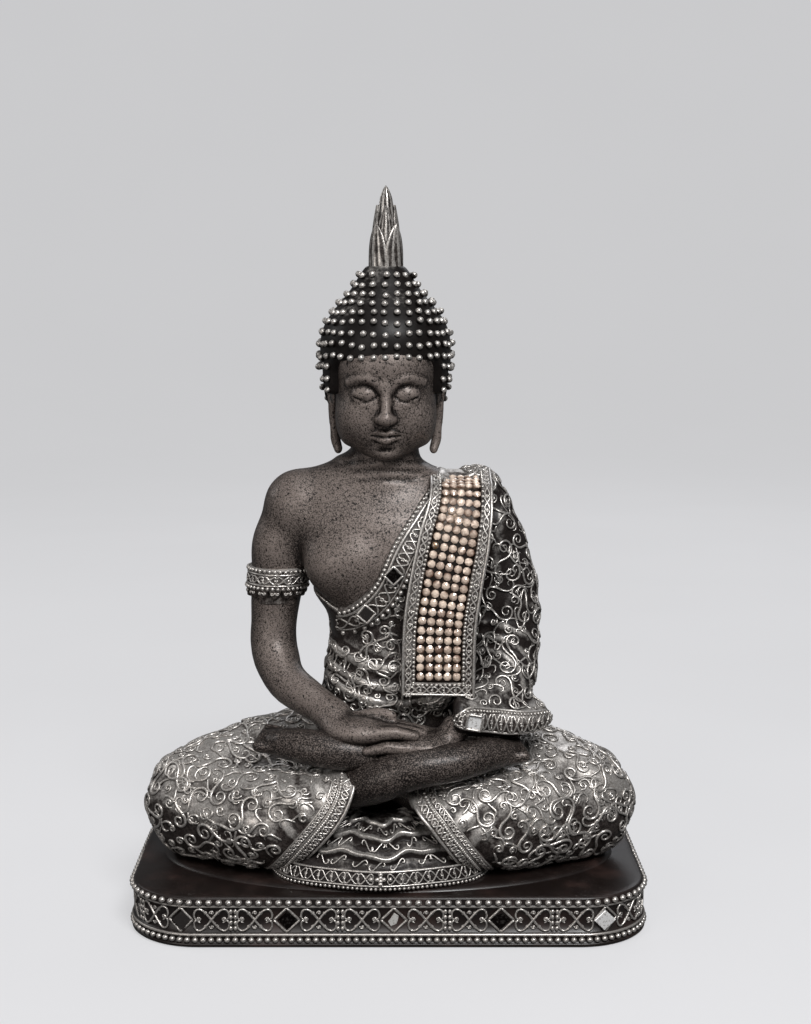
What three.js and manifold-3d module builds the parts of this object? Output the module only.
// Seated meditating figure on a mirror-set plinth, as an assembly of the pieces it is sculpted and set from.
// Millimetres, +Z up, the front faces -Y. The figure's own right side is -X, its own left side is +X.
// The origin is the centre of the plinth's underside.

import * as THREE from "three";
import { mergeVertices } from "three/addons/utils/BufferGeometryUtils.js";
import Module from "manifold-3d";

const wasm = await Module();
wasm.setup();

// ---------------------------------------------------------------- driving dimensions

const GAP = 0.3; // glue line between neighbouring pieces

const PLINTH = {
  width: 200,
  depth: 110,
  height: 19.5,
  corner: 28,
  footBand: 5, // plain band under the frieze
  topBand: 3.6, // plain band over the frieze
  friezeInset: 1.4,
};
const PAD = { height: 1.5, reachX: 90, front: 49, back: 46 }; // low raised seat on the plinth
const TILE = { side: 5.8, thick: 1.2, proud: 0.3, count: 5, pitch: 39.6, x: 2 }; // diamond-set mirror tiles
const BAND_TILE = { side: 4.6, thick: 1.1, proud: 0.3 };

// Heights below are measured from the seat, the top of the pad.
const LEGS = { kneeX: 75, kneeR: 22.5, kneeZ: 21.5, thighR: 26.5, thighZ: 25.5, shinR: 19.5, shinZ: 19.5 };
const HEM = { width: 9.5, setBack: 0.8, thick: 1.1 };
const HIPS = { reachX: 54, reachY: 29, top: 62, y: 18 };
const APRON = { reachX: 42, front: 50.5, top: 23, x: -3, y: -25 };
const TORSO = { waistZ: 90, waistX: 23.5, waistY: 21, chestZ: 119, chestX: 35, chestY: 23.5, collarZ: 147 };
const ROBE_THICK = 1.3;
const BAND = { width: 11, thick: 1.2 };
const ARM = { shoulderX: 36, elbowX: 46, elbowZ: 79, upperR: 11, elbowR: 8.6, wristR: 6 };
const ARMLET = { z: 105.5, height: 8.5, leaf: 6.5, thick: 1.2 };
const SLEEVE = { shoulderX: 34, elbowX: 47, elbowZ: 80, upperR: 13.6, wristR: 7.4, bagX: 19.5, bagY: 17, bagZ: 7.8 };
const CUFF = { width: 6.5, thick: 1.1 };
const SASH = { width: 28.4, bottomZ: 69, topZ: 149.5, taper: 0.72, thick: 3.6, frame: 5.2, recess: 1.6 };
const STONES = { pitch: 3.5, base: 0.9, dome: 1.3 };
const HAND = { palmX: 12.5, palmY: 9, palmZ: 4.6, fingerR: 2.5, x: -1, y: -32, z: 53.5 };
const FOOT = { soleR: 8.2, toeR: 5.2, reach: 47 };
const HEAD = { x: -1, chinZ: 160, crownZ: 210, halfX: 20.3, halfY: 22, neckR: 12.6, earX: 23.4, earDrop: 21 };
const HAIR = { x: -1.2, y: 5, halfX: 26.4, topR: 9.4, topZ: 232.5, lineZ: 201 };
const FINIAL = { baseR: 7, height: 30.5, pegR: 2.6, pegDepth: 5 };

const SEAT_Z = PLINTH.height + PAD.height;
const THROUGH = 90; // longer than any piece is deep, for cutting prisms

// ---------------------------------------------------------------- solids

/** Turns a closed three.js geometry into a manifold solid. */
function solid(geometry) {
  const bare = geometry.index ? geometry.clone() : geometry;
  bare.deleteAttribute("normal");
  bare.deleteAttribute("uv");
  const merged = mergeVertices(bare, 1e-4);
  const mesh = new wasm.Mesh({
    numProp: 3,
    vertProperties: new Float32Array(merged.attributes.position.array),
    triVerts: new Uint32Array(merged.index.array),
  });
  return new wasm.Manifold(mesh);
}

/** The largest body of a cut solid, without the loose crumbs a cut may leave. */
function mainBody(cut) {
  return cut.decompose().reduce((best, body) => (body.volume() > best.volume() ? body : best));
}

/** Turns a manifold solid back into a three.js geometry. */
function geometryOf(body) {
  const mesh = body.getMesh();
  const geometry = new THREE.BufferGeometry();
  geometry.setAttribute("position", new THREE.BufferAttribute(mesh.vertProperties, 3));
  geometry.setIndex(new THREE.BufferAttribute(mesh.triVerts, 1));
  geometry.computeVertexNormals();
  return geometry;
}

const joined = (solids) => solids.reduce((all, next) => all.add(next));

/** A ball of half sizes `half` about `at`, grown all round by `extra`. */
function ball(at, half, extra = 0, sides = 14, rows = 8) {
  const geometry = new THREE.SphereGeometry(1, sides, rows);
  geometry.scale(half[0] + extra, half[1] + extra, half[2] + extra);
  geometry.translate(...at);
  return solid(geometry);
}

/** A box of full sizes `size` about `at`, turned by `turn` radians about Y. */
function block(at, size, turn = 0) {
  const geometry = new THREE.BoxGeometry(...size);
  geometry.rotateY(turn);
  geometry.translate(...at);
  return solid(geometry);
}

/**
 * A round-ended limb through stations [x, y, z, halfAlong, halfAcross], grown by `extra`.
 * `side` is the direction that halfAlong is measured in; the ends bulge by `bulge` of their radius.
 */
function limb(stations, extra = 0, { side = [0, 0, 1], sides = 12, steps = 2, bulge = 1 } = {}) {
  const caps = 2;
  const middle = steps * (stations.length - 1);
  const rows = middle + 2 * caps;
  const spine = new THREE.CatmullRomCurve3(stations.map(([x, y, z]) => new THREE.Vector3(x, y, z)));
  const girth = new THREE.CatmullRomCurve3(stations.map((s) => new THREE.Vector3(s[3], s[4] ?? s[3], 0)));
  const geometry = new THREE.SphereGeometry(1, sides, rows);
  const place = geometry.attributes.position;
  for (let i = 0; i < place.count; i++) {
    const [x, y, z] = [place.getX(i), place.getY(i), place.getZ(i)];
    const row = Math.round((Math.acos(THREE.MathUtils.clamp(y, -1, 1)) / Math.PI) * rows);
    const t = THREE.MathUtils.clamp((row - caps) / middle, 0, 1);
    const beyond = Math.max(caps - row, row - caps - middle, 0) / caps;
    const lean = (beyond * Math.PI) / 2;
    const tangent = spine.getTangent(t);
    const half = girth.getPoint(t);
    const along = new THREE.Vector3(...side);
    along.addScaledVector(tangent, -along.dot(tangent)).normalize();
    const across = new THREE.Vector3().crossVectors(tangent, along);
    const ring = Math.hypot(x, z) || 1;
    const push = Math.sin(lean) * (bulge * Math.min(half.x, half.y) + extra) * (row < caps ? -1 : 1);
    const at = spine.getPoint(t).addScaledVector(tangent, push);
    at.addScaledVector(along, (x / ring) * Math.cos(lean) * (half.x + extra));
    at.addScaledVector(across, (z / ring) * Math.cos(lean) * (half.y + extra));
    place.setXYZ(i, at.x, at.y, at.z);
  }
  return solid(geometry);
}

/** A closed outline moved outwards by `extra`, corner by corner. */
function grown(outline, extra) {
  const sign = THREE.ShapeUtils.isClockWise(outline) ? -1 : 1;
  return outline.map((point, i) => {
    const before = outline[(i + outline.length - 1) % outline.length];
    const after = outline[(i + 1) % outline.length];
    const inward = new THREE.Vector2().subVectors(point, before).normalize();
    const outward = new THREE.Vector2().subVectors(after, point).normalize();
    const mean = inward.clone().add(outward).normalize();
    const stretch = extra / Math.max(mean.dot(outward), 0.5);
    return new THREE.Vector2(point.x + sign * mean.y * stretch, point.y - sign * mean.x * stretch);
  });
}

const AXES = {
  x: new THREE.Matrix4().makeBasis(
    new THREE.Vector3(0, 1, 0), new THREE.Vector3(0, 0, 1), new THREE.Vector3(1, 0, 0)),
  y: new THREE.Matrix4().makeBasis(
    new THREE.Vector3(1, 0, 0), new THREE.Vector3(0, 0, 1), new THREE.Vector3(0, -1, 0)),
  z: new THREE.Matrix4(),
};

/** A prism of a closed outline of [a, b] points, run from `from` to `to` along the named axis. */
function prism(outline, axis, from, to, extra = 0) {
  const points = outline.map((p) => (Array.isArray(p) ? new THREE.Vector2(...p) : p));
  const shape = new THREE.Shape(extra ? grown(points, extra) : points);
  const [near, far] = axis === "y" ? [-to, -from] : [from, to];
  const geometry = new THREE.ExtrudeGeometry(shape, { depth: far - near + 2 * extra, bevelEnabled: false });
  geometry.translate(0, 0, near - extra);
  geometry.applyMatrix4(AXES[axis]);
  return solid(geometry);
}

/** Points of a smooth curve through [a, b] points. */
function smooth(points, count) {
  return new THREE.SplineCurve(points.map((p) => new THREE.Vector2(...p))).getPoints(count);
}

/** A curve moved sideways by `distance`, to the right of its own direction. */
function shifted(curve, distance) {
  return curve.map((point, i) => {
    const ahead = curve[Math.min(i + 1, curve.length - 1)];
    const back = curve[Math.max(i - 1, 0)];
    const run = new THREE.Vector2().subVectors(ahead, back).normalize();
    return new THREE.Vector2(point.x + run.y * distance, point.y - run.x * distance);
  });
}

/** The outline of a ribbon that lies between two sideways distances from a curve. */
const ribbon = (curve, from, to) => [...shifted(curve, from), ...shifted(curve, to).reverse()];

/** A skin between two grown copies of a shape, kept inside a cutter. */
function skin(shape, cutter, inner, outer) {
  return shape(outer).subtract(shape(inner)).intersect(cutter);
}

// ---------------------------------------------------------------- plinth

/** Points of the plinth's rounded outline, drawn in from its edge by `inset`. */
function plinthOutline(inset) {
  const [halfX, halfY] = [PLINTH.width / 2 - inset, PLINTH.depth / 2 - inset];
  const r = PLINTH.corner - inset;
  const shape = new THREE.Shape();
  shape.absarc(halfX - r, halfY - r, r, 0, Math.PI / 2);
  shape.absarc(r - halfX, halfY - r, r, Math.PI / 2, Math.PI);
  shape.absarc(r - halfX, r - halfY, r, Math.PI, 1.5 * Math.PI);
  shape.absarc(halfX - r, r - halfY, r, 1.5 * Math.PI, 2 * Math.PI);
  return shape.getPoints(6);
}

/** Points of the low pad's outline: an oval, fuller at the front. */
function padOutline() {
  const points = [];
  for (let i = 0; i < 28; i++) {
    const a = (i / 28) * 2 * Math.PI;
    const reachY = Math.sin(a) < 0 ? PAD.front : PAD.back;
    points.push(new THREE.Vector2(PAD.reachX * Math.cos(a), reachY * Math.sin(a)));
  }
  return points;
}

/** A slab of the plinth between two heights, its sharp outline drawn in by `inset`. */
function slab(inset, bottom, top) {
  const outline = plinthOutline(inset).filter((p, i, all) => p.distanceTo(all[(i + 1) % all.length]) > 1e-3);
  return prism(outline, "z", bottom, top);
}

const frieze = {
  y: -PLINTH.depth / 2 + PLINTH.friezeInset,
  z: (PLINTH.footBand + PLINTH.height - PLINTH.topBand) / 2,
};

/** A mirror tile standing on its corner in the frieze. */
function plinthTile(index, extra = 0) {
  const x = TILE.x + (index - (TILE.count - 1) / 2) * TILE.pitch;
  const y = frieze.y - TILE.proud + TILE.thick / 2;
  return block([x, y, frieze.z], [TILE.side + 2 * extra, TILE.thick + 2 * extra, TILE.side + 2 * extra], Math.PI / 4);
}

const tileIndexes = [...Array(TILE.count).keys()];

function plinth() {
  const bands = [
    slab(0, 0, PLINTH.footBand),
    slab(PLINTH.friezeInset, PLINTH.footBand / 2, PLINTH.height - PLINTH.topBand / 2),
    slab(0, PLINTH.height - PLINTH.topBand, PLINTH.height),
    prism(padOutline(), "z", PLINTH.height / 2, SEAT_Z),
  ];
  return tileIndexes.reduce((body, i) => body.subtract(plinthTile(i, GAP)), joined(bands));
}

// ---------------------------------------------------------------- legs, feet, hips and apron

/** The edge that a trouser ends at, seen from the front, as [x, z] downwards on the right and upwards on the left. */
const hemEdge = (hand) => hand < 0
  ? smooth([[-11, 54], [-12, 38], [-17, 26], [-30, 10], [-44, -8]], 7)
  : smooth([[38, -8], [27, 7], [17, 20], [10, 28], [1, 42]], 7);

/** All that lies past a trouser's edge, towards the middle, on the front of the legs. */
function pastHem(hand, extra) {
  const edge = hemEdge(hand);
  const far = (point) => new THREE.Vector2(-hand * THROUGH, point.y);
  return prism([...edge, far(edge.at(-1)), far(edge[0])], "y", -THROUGH, -18, extra);
}

/** One trousered leg, bent from hip to knee and back to the ankle. `hand` is -1 on the right, +1 on the left. */
function leg(hand, extra = 0) {
  const knee = hand < 0 ? -LEGS.kneeX : LEGS.kneeX + 1.2;
  const ankle = hand < 0 ? [-15, -30.5, 28] : [15, -32, 20];
  const thigh = [
    [hand * 24, 16, LEGS.thighZ + 1, LEGS.thighR + 2],
    [hand * 0.73 * LEGS.kneeX, 7, LEGS.thighZ, LEGS.thighR],
    [knee, -4, LEGS.kneeZ, LEGS.kneeR],
  ];
  const shin = [
    [knee - hand, -7, LEGS.shinZ, LEGS.shinR],
    [hand * 0.67 * LEGS.kneeX, -22.5, LEGS.shinZ, LEGS.shinR],
    [hand * 29, -29.5, (LEGS.shinZ + ankle[2]) / 2, LEGS.shinR - 3],
    [...ankle, LEGS.shinR - 5.5, LEGS.shinR - 6.5],
  ];
  const shinBody = limb(shin, extra, { bulge: 0.3, sides: 16 }).subtract(pastHem(hand, -extra));
  return limb(thigh, extra, { sides: 16 }).add(shinBody);
}

/** The raised hem round a trouser's end, across the shin. */
function hem(hand, extra = 0) {
  const cutter = prism(ribbon(hemEdge(hand), HEM.setBack, HEM.width), "y", -THROUGH, -16, extra);
  return skin((grow) => leg(hand, grow), cutter, GAP - extra, HEM.thick + extra);
}

/** A bare foot laid sole up on the opposite thigh, with its ankle. */
function foot(hand, extra = 0) {
  const stations = hand < 0
    ? [[-17, -27, 33, 9], [-5, -37, 39, 9], [9, -40, 44.5, FOOT.soleR], [25, -38, 46, FOOT.soleR, 7.4],
      [38, -32, 47.5, 7, 6.6], [FOOT.reach, -26, 46.5, FOOT.toeR]]
    : [[15, -22, 27, 8], [3, -25, 38, 8], [-9, -31.5, 47, FOOT.soleR], [-24, -33, 49.5, FOOT.soleR, 7],
      [-37, -29, 50.5, 6.8, 6.4], [2 - FOOT.reach, -24, 50, FOOT.toeR]];
  return limb(stations, extra, { sides: 10, steps: 1 });
}

const hips = (extra = 0) =>
  ball([0, HIPS.y, HIPS.top - 34], [HIPS.reachX, HIPS.reachY, 34], extra, 18, 10);

const apron = (extra = 0) =>
  ball([APRON.x, APRON.y, 0], [APRON.reachX, APRON.front + APRON.y, APRON.top], extra, 18, 10);

// ---------------------------------------------------------------- torso, robe and band

/** The torso from the hips to the collar. */
function torso(extra = 0) {
  const { waistZ, waistX, waistY, chestZ, chestX, chestY, collarZ } = TORSO;
  const stations = [
    [1, 11, waistZ - 50, waistX + 8, waistY + 4],
    [2, 8, waistZ - 28, waistX + 4, waistY + 3],
    [2, 6, waistZ, waistX, waistY],
    [1, 5, (waistZ + chestZ) / 2, (waistX + chestX) / 2, (waistY + chestY) / 2 + 0.8],
    [0, 5, chestZ, chestX, chestY],
    [-1, 6, chestZ + 14, chestX + 3, chestY - 2.5],
    [-1, 7, collarZ - 4, chestX + 2, chestY - 7],
    [-1, 8, collarZ + 3, chestX - 7, chestY - 10],
    [-1, 8, collarZ + 8, chestX - 19, chestY - 12],
  ];
  return limb(stations, extra, { side: [1, 0, 0], bulge: 0.3, sides: 18, steps: 1 });
}

/** The robe's upper edge across the chest, from the right armpit to the left shoulder, as [x, z]. */
const robeEdge = smooth([[-34, 109], [-27, 105], [-19, 100], [-12, 104], [-5, 112], [2.5, 127.5], [13, 143], [24, 159]], 14);

/** Everything under and left of the robe's edge. */
function robeCutter(extra = 0) {
  const corners = [[THROUGH, 175], [THROUGH, -THROUGH], [-THROUGH, -THROUGH], [-THROUGH, 109]];
  return prism([...robeEdge, ...corners.map((p) => new THREE.Vector2(...p))], "y", -THROUGH, THROUGH, extra);
}

const robe = (extra = 0) => torso(ROBE_THICK + extra).intersect(robeCutter(extra));
const chest = (extra = 0) => torso(extra).subtract(robeCutter(GAP - extra));

/** The ornamented band laid along the robe's edge on the front of the chest. */
function band(extra = 0) {
  const cutter = prism(ribbon(robeEdge, 0, BAND.width), "y", -THROUGH, 4, extra);
  return skin(torso, cutter, ROBE_THICK + GAP - extra, ROBE_THICK + BAND.thick + extra);
}

/** A mirror tile standing on its corner in the chest band, `t` of the way along the robe's edge. */
function bandTile(t, y, extra = 0) {
  const at = robeEdge[Math.round(t * (robeEdge.length - 1))];
  const size = BAND_TILE.side + 2 * extra;
  return block([at.x + 3.4, y + BAND_TILE.thick / 2, at.y - 4.2], [size, BAND_TILE.thick + 2 * extra, size], Math.PI / 4);
}

// ---------------------------------------------------------------- arms and hands

/** The bare right arm, from the shoulder to the wrist in the lap. */
function rightArm(extra = 0) {
  const { shoulderX, elbowX, elbowZ, upperR, elbowR, wristR } = ARM;
  const stations = [
    [-shoulderX, 9, TORSO.collarZ - 8, upperR + 0.6],
    [-shoulderX - 5.5, 9, TORSO.collarZ - 24, upperR],
    [-elbowX + 1.5, 9, elbowZ + 28, upperR - 0.6],
    [-elbowX, 8, elbowZ + 13, elbowR + 0.6],
    [-elbowX, 4.5, elbowZ, elbowR],
    [-elbowX + 5.5, -4, elbowZ - 9.5, elbowR - 0.4],
    [-elbowX + 14, -13, elbowZ - 14, elbowR - 1.2],
    [HAND.x - 18.5, HAND.y + 8, HAND.z + 6, wristR],
  ];
  return limb(stations, extra, { side: [1, 0, 0], steps: 1 });
}

/** The armlet round the upper right arm: a plain ring with a pointed leaf hung on its front. */
function armlet(extra = 0) {
  const [left, right] = [-ARM.elbowX - 14, -ARM.elbowX + 17];
  const { z, height, leaf } = ARMLET;
  const middle = (left + right) / 2;
  const outline = [[left, z + height], [right, z + height - 1], [right, z], [middle + 7, z], [middle, z - leaf],
    [middle - 7, z], [left, z]];
  return skin(rightArm, prism(outline.reverse(), "y", -THROUGH, THROUGH, extra), GAP - extra, ARMLET.thick + extra);
}

/** The left arm inside its wide sleeve, which sags over the thigh at the wrist. */
function sleeve(extra = 0) {
  const { shoulderX, elbowX, elbowZ, upperR, wristR, bagX, bagY, bagZ } = SLEEVE;
  const stations = [
    [shoulderX, 8, TORSO.collarZ - 5, upperR - 1.6],
    [shoulderX + 6, 8, TORSO.collarZ - 22, upperR - 0.2],
    [elbowX - 1.5, 7, elbowZ + 26, upperR],
    [elbowX, 4, elbowZ + 9, upperR - 0.4],
    [elbowX - 1, -4, elbowZ - 6, upperR - 1.6],
    [elbowX - 5, -14, elbowZ - 15, upperR - 3],
    [elbowX - 14, -24, elbowZ - 18.5, wristR + 1],
    [elbowX - 20, -29, elbowZ - 19, wristR],
  ];
  const bag = ball([elbowX - 3.5, -14, elbowZ - 21.5], [bagX, bagY, bagZ], extra, 16, 8);
  return limb(stations, extra, { side: [1, 0, 0], sides: 14, steps: 1 }).add(bag);
}

/** The sleeve's cuff, a raised border along its lower front edge. */
function cuff(extra = 0) {
  const { elbowX, elbowZ } = SLEEVE;
  const edge = smooth([
    [elbowX - 28, elbowZ - 13], [elbowX - 16, elbowZ - 19.5], [elbowX - 1, elbowZ - 21.5], [elbowX + 21, elbowZ - 19]], 7);
  return skin(sleeve, prism(ribbon(edge, 0, CUFF.width), "y", -THROUGH, -8, extra), GAP - extra, CUFF.thick + extra);
}

/** The mirror tile at the cuff's tip. */
function cuffTile(extra = 0) {
  const size = TILE.side - 0.6 + 2 * extra;
  const depth = SLEEVE.wristR + 29 + CUFF.thick;
  return block([SLEEVE.elbowX - 14.5, -depth + TILE.thick / 2, SLEEVE.elbowZ - 18.5], [size, TILE.thick + 2 * extra, size], 0.2);
}

/** An open hand, palm up, its fingers pointing along `way` on X. */
function hand(at, way, extra = 0) {
  const [x, y, z] = at;
  const parts = [ball([x, y, z], [HAND.palmX, HAND.palmY, HAND.palmZ], extra, 12, 6)];
  for (let i = 0; i < 4; i++) {
    const across = y + 5.6 - i * 3.9;
    const reach = [21, 23.5, 23, 20][i];
    const finger = [[x + way * 6, across, z + 0.6, HAND.fingerR], [x + way * 15, across, z + 0.8, HAND.fingerR],
      [x + way * reach, across, z - 0.4, HAND.fingerR - 0.4]];
    parts.push(limb(finger, extra, { sides: 6, steps: 1 }));
  }
  const thumb = [[x - way * 4, y + 6, z + 2, HAND.fingerR + 0.3], [x + way * 4, y + 4.4, z + 4.6, HAND.fingerR],
    [x + way * 9, y + 2.4, z + 5.4, HAND.fingerR - 0.3]];
  parts.push(limb(thumb, extra, { sides: 6, steps: 1 }));
  return joined(parts);
}

const rightHand = (extra = 0) => hand([HAND.x - 9, HAND.y, HAND.z + 3], 1, extra);
const leftHand = (extra = 0) => hand([HAND.x + 13, HAND.y - 1, HAND.z - 2.5], -1, extra);

// ---------------------------------------------------------------- sash and its stones

/** The run of the sash's back from the lap up the chest and over the left shoulder, as [y, z]. */
function sashRun() {
  const { chestZ, chestY, collarZ } = TORSO;
  const lie = 5 - chestY - ROBE_THICK;
  return smooth([
    [lie - 5.5, SASH.bottomZ], [lie - 4.5, chestZ - 30], [lie - 2.2, chestZ - 4], [lie + 1.6, chestZ + 14],
    [lie + 7.5, collarZ - 3], [lie + 15, SASH.topZ - 3], [lie + 28, SASH.topZ]], 14);
}

/** The sash's outline seen from the front: upright at the lap, leaning and narrowing up to the shoulder. */
function sashOutline() {
  const middle = [[19, SASH.bottomZ], [19.5, 94], [21.8, 111], [25.2, 128], [28, 143], [28.6, 168]];
  const narrow = [1, 1, 1, 0.98, (1 + SASH.taper) / 2, SASH.taper];
  const side = (sign) => smooth(middle.map(([x, z], i) => [x + (sign * narrow[i] * SASH.width) / 2, z]), 8);
  return [...side(1), ...side(-1).reverse()];
}

/** A layer of the sash between two heights over its back, as wide as the sash less `inset` each side. */
function sashLayer(low, high, inset, extra = 0) {
  const profile = ribbon(sashRun(), -low + extra, -high - extra);
  const front = prism(sashOutline(), "y", -THROUGH, THROUGH, extra - inset);
  return prism(profile, "x", -THROUGH, THROUGH).intersect(front);
}

const sash = (extra = 0) => sashLayer(0, SASH.thick, 0, extra);
const sashTray = () => sashLayer(SASH.thick - SASH.recess, SASH.thick + 3, SASH.frame);

/** The stones' ribbon: a backing that fills the tray's floor, with a low ridge for each row of stones. */
function stones(extra = 0) {
  const floor = SASH.thick - SASH.recess + GAP;
  if (extra) return sashLayer(floor, floor + STONES.base + STONES.dome, SASH.frame + GAP, extra);
  const backing = sashLayer(floor, floor + STONES.base, SASH.frame + GAP);
  const run = new THREE.SplineCurve(sashRun());
  const length = run.getLength() - 2 * SASH.frame;
  const rows = Math.floor(length / STONES.pitch);
  const ridges = [];
  for (let row = 0; row < rows; row++) {
    const share = (SASH.frame + (row + 0.5) * (length / rows)) / run.getLength();
    const [at, way] = [run.getPointAt(share), run.getTangentAt(share)];
    const ridge = new THREE.CylinderGeometry(STONES.dome, STONES.dome, 2 * SASH.width, 4);
    ridge.rotateZ(Math.PI / 2);
    ridge.translate(SASH.width, at.x - way.y * (floor + STONES.base), at.y + way.x * (floor + STONES.base));
    ridges.push(solid(ridge));
  }
  const fit = sashLayer(floor, SASH.thick + 3, SASH.frame + GAP);
  return backing.add(joined(ridges).intersect(fit));
}

// ---------------------------------------------------------------- head, hair and finial

/** The hair's side boundary as [y, z]: brow, temple, round the ear and down to the nape. */
function hairCutter(extra = 0) {
  const { lineZ } = HAIR;
  const outline = [[-THROUGH, lineZ], [-14, lineZ - 1], [-9, lineZ - 9], [-8.5, lineZ - 22], [-4.5, lineZ - 22],
    [-2, lineZ - 10], [9, lineZ - 10], [12, lineZ - 28], [THROUGH, lineZ - 36], [THROUGH, lineZ + 60], [-THROUGH, lineZ + 60]];
  return prism(outline, "x", -THROUGH, THROUGH, extra);
}

/** The cap of hair with its rounded crown, turned about a vertical axis. */
function hairVolume(extra = 0) {
  const { halfX, topR, topZ } = HAIR;
  const profile = [[0, topZ - 66], [halfX - 5, topZ - 60], [halfX - 1, topZ - 50], [halfX, topZ - 36], [halfX, topZ - 29],
    [halfX - 2.2, topZ - 22], [halfX - 6.4, topZ - 16], [halfX - 11.6, topZ - 10], [topR + 1.2, topZ - 2], [topR - 1.5, topZ],
    [0, topZ]];
  const grownProfile = profile.map(([r, z], i) =>
    new THREE.Vector2(r + (r > 0 ? extra : 0), z + (i > 8 ? extra : i === 0 ? -extra : 0)));
  const geometry = new THREE.LatheGeometry(grownProfile, 24);
  geometry.rotateX(Math.PI / 2);
  geometry.translate(HAIR.x, HAIR.y, 0);
  return solid(geometry);
}

const hairCap = (extra = 0) => hairVolume(extra).intersect(hairCutter(extra));

/** Head, long-lobed ears and neck. */
function headVolume(extra = 0) {
  const { x, chinZ, crownZ, halfX, halfY, neckR, earX, earDrop } = HEAD;
  const middle = (chinZ + crownZ) / 2;
  const parts = [
    ball([x, 1, middle + 3], [halfX, halfY, (crownZ - chinZ) / 2], extra, 18, 12),
    ball([x, -6, chinZ + 14], [halfX - 4.5, 13, 14], extra),
    limb([[x, 5, TORSO.collarZ - 5, neckR + 1.5], [x, 4, chinZ, neckR], [x, 4, chinZ + 12, neckR]], extra,
      { side: [1, 0, 0], bulge: 0.2 }),
  ];
  for (const hand of [-1, 1]) {
    parts.push(ball([x + hand * (earX - 1), 4, middle + 8], [2.8, 6, 9.5], extra, 8, 6));
    parts.push(ball([x + hand * (earX - 3.4), 3, middle + 10 - earDrop], [2.6, 3.2, 14], extra, 8, 6));
  }
  return joined(parts);
}

const head = (extra = 0) => headVolume(extra).subtract(hairCutter(GAP - extra));

/** The bud of flame on the crown, in three tiers of petals, with the peg that holds it in the hair. */
function finial(extra = 0) {
  const { baseR, height, pegR, pegDepth } = FINIAL;
  const rise = (share) => GAP + share * height;
  const outline = [[0, -pegDepth - extra], [pegR + extra, -pegDepth - extra], [pegR + extra, GAP - extra],
    [baseR - 1 + extra, GAP - extra], [baseR + extra, rise(0.12)], [baseR - 0.6 + extra, rise(0.38)],
    [baseR - 1.8 + extra, rise(0.5)], [baseR - 2.6 + extra, rise(0.55)], [baseR - 3.2 + extra, rise(0.74)],
    [baseR - 4.4 + extra, rise(0.8)], [0, rise(1) + extra]];
  const geometry = new THREE.LatheGeometry(outline.map((p) => new THREE.Vector2(...p)), 16);
  geometry.rotateX(Math.PI / 2);
  geometry.translate(HEAD.x, HAIR.y, HAIR.topZ);
  return solid(geometry);
}

// ---------------------------------------------------------------- assembly

const FINISH = {
  resin: { color: 0x2b2220, roughness: 0.5, metalness: 0.1 },
  skin: { color: 0x4b433e, roughness: 0.55, metalness: 0.1 },
  silver: { color: 0x8d8a86, roughness: 0.45, metalness: 0.6 },
  hair: { color: 0x2a2524, roughness: 0.6, metalness: 0.2 },
  stone: { color: 0xc9a283, roughness: 0.15, metalness: 0.3 },
  mirror: { color: 0xd8dadc, roughness: 0.05, metalness: 1 },
};

/** The figure's pieces, those set in or laid on top first. Each is cut back from all that come before it. */
const figurePieces = [
  ["cuff_mirror", cuffTile, "mirror"],
  ["chest_mirror_upper", (extra) => bandTile(0.66, -21.8, extra), "mirror"],
  ["chest_mirror_lower", (extra) => bandTile(0.42, -20.4, extra), "mirror"],
  ["rhinestone_strip", stones, "stone"],
  ["sash_panel", (extra = 0) => (extra ? sash(extra) : sash().subtract(sashTray())), "silver"],
  ["flame_finial", finial, "silver"],
  ["hair_cap", hairCap, "hair"],
  ["head", head, "skin"],
  ["right_hand", rightHand, "skin"],
  ["left_hand", leftHand, "skin"],
  ["armlet", armlet, "silver"],
  ["right_arm", rightArm, "skin"],
  ["sleeve_cuff", cuff, "silver"],
  ["left_sleeve", sleeve, "resin"],
  ["chest_band", band, "silver"],
  ["robe_wrap", robe, "resin"],
  ["chest", chest, "skin"],
  ["right_foot", (extra) => foot(-1, extra), "skin"],
  ["left_foot", (extra) => foot(1, extra), "skin"],
  ["right_trouser_hem", (extra) => hem(-1, extra), "silver"],
  ["left_trouser_hem", (extra) => hem(1, extra), "silver"],
  ["right_trouser_leg", (extra) => leg(-1, extra), "resin"],
  ["left_trouser_leg", (extra) => leg(1, extra), "resin"],
  ["apron_fall", apron, "resin"],
  ["hips_drape", hips, "resin"],
];

/** Whether two solids' boxes come near each other. */
function near(a, b) {
  const [boxA, boxB] = [a.boundingBox(), b.boundingBox()];
  return [0, 1, 2].every((k) => boxA.min[k] < boxB.max[k] && boxB.min[k] < boxA.max[k]);
}

function named(name, body, finish) {
  const mesh = new THREE.Mesh(geometryOf(mainBody(body)), new THREE.MeshStandardMaterial(FINISH[finish]));
  mesh.name = name;
  return mesh;
}

const base = new THREE.Group();
base.add(named("plinth", plinth(), "resin"));
for (const i of tileIndexes) base.add(named(`plinth_mirror_${i + 1}`, plinthTile(i), "mirror"));

const figure = new THREE.Group();
figure.position.z = SEAT_Z;
const seat = prism([[-THROUGH * 2, -THROUGH], [THROUGH * 2, -THROUGH], [THROUGH * 2, THROUGH], [-THROUGH * 2, THROUGH]],
  "z", -THROUGH, GAP);
const cleared = [];
for (const [name, shape, finish] of figurePieces) {
  const raw = shape(0);
  const body = cleared.reduce((left, other) => (near(left, other) ? left.subtract(other) : left), raw.subtract(seat));
  cleared.push(shape(GAP));
  figure.add(named(name, body, finish));
}

const group = new THREE.Group();
group.add(base, figure);

export default group;
